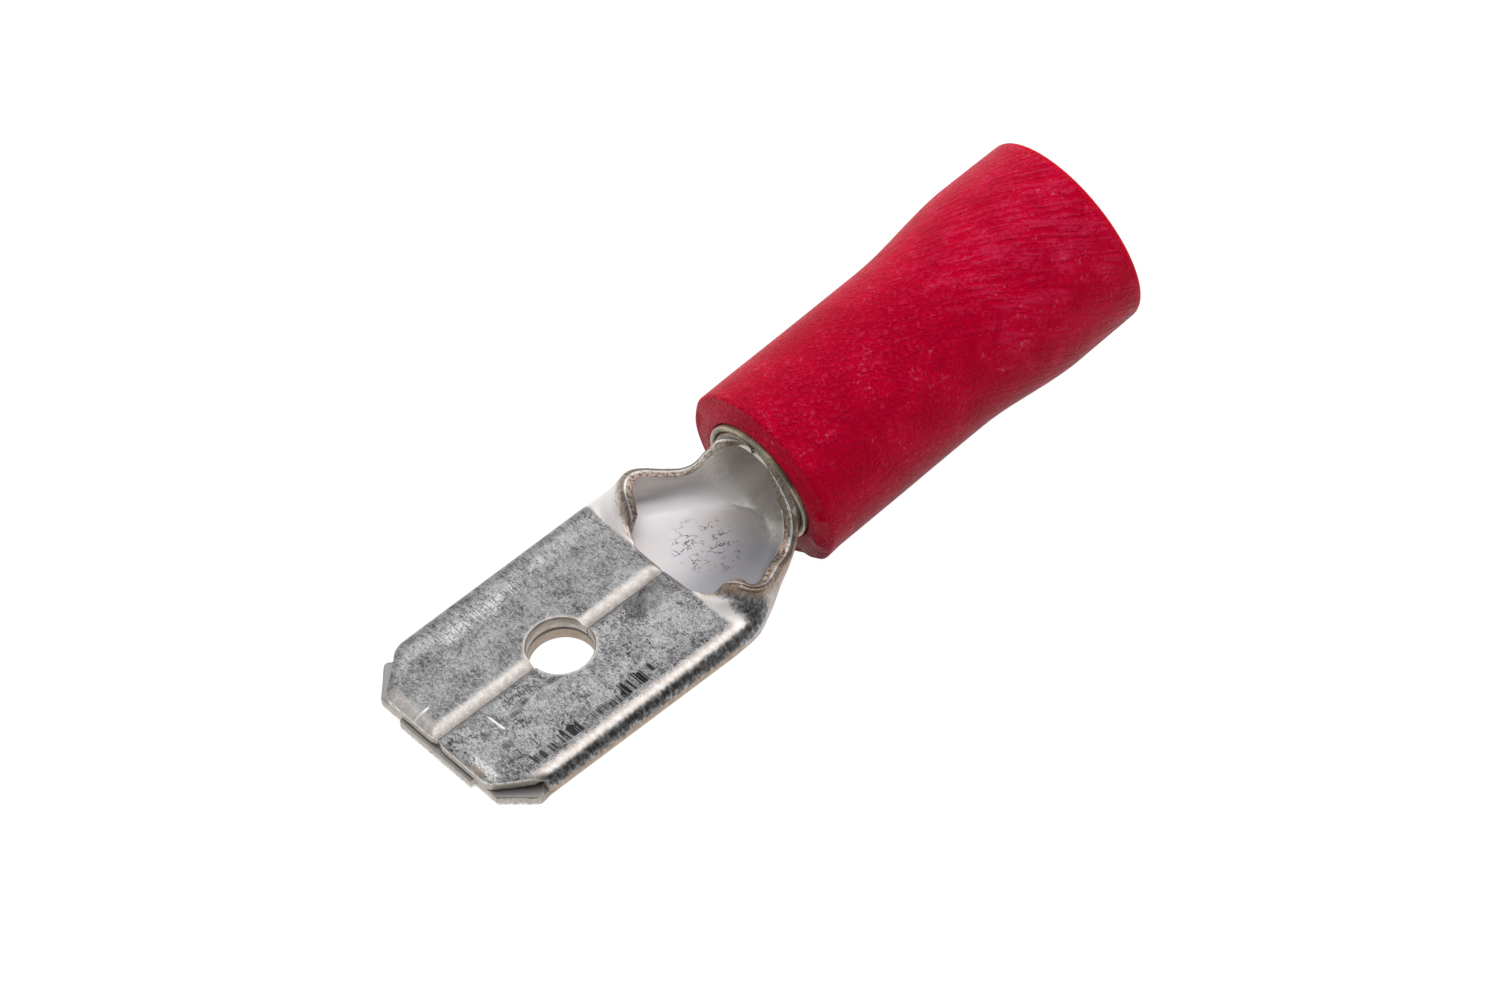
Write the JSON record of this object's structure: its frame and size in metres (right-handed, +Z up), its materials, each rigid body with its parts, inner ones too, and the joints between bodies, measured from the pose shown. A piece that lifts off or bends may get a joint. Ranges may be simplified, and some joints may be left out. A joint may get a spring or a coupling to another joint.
{
  "type": "insulated male spade terminal",
  "caption": "Crimp terminal with a folded flat blade at the front and a flared round insulating sleeve behind it for the wire.",
  "frame": {"origin": "centre of the footprint, on the ground the terminal rests on", "axes": "+X from the blade's tip towards the wire end, +Y across the blade, +Z up; the blade tips down by about six degrees because the terminal rests on its tip and on its sleeve"},
  "size_m": [0.0224, 0.0062, 0.0069],
  "materials": {
    "tinned_brass": "dull tin plating, scuffed",
    "tinned_copper": "tin plating worn yellow at the edge",
    "red_pvc": "lightly pebbled moulded skin"
  },
  "bodies": {
    "root": {"terminal_body": "tinned_brass", "support_sleeve": "tinned_copper", "insulating_sleeve": "red_pvc"}
  },
  "joints": []
}
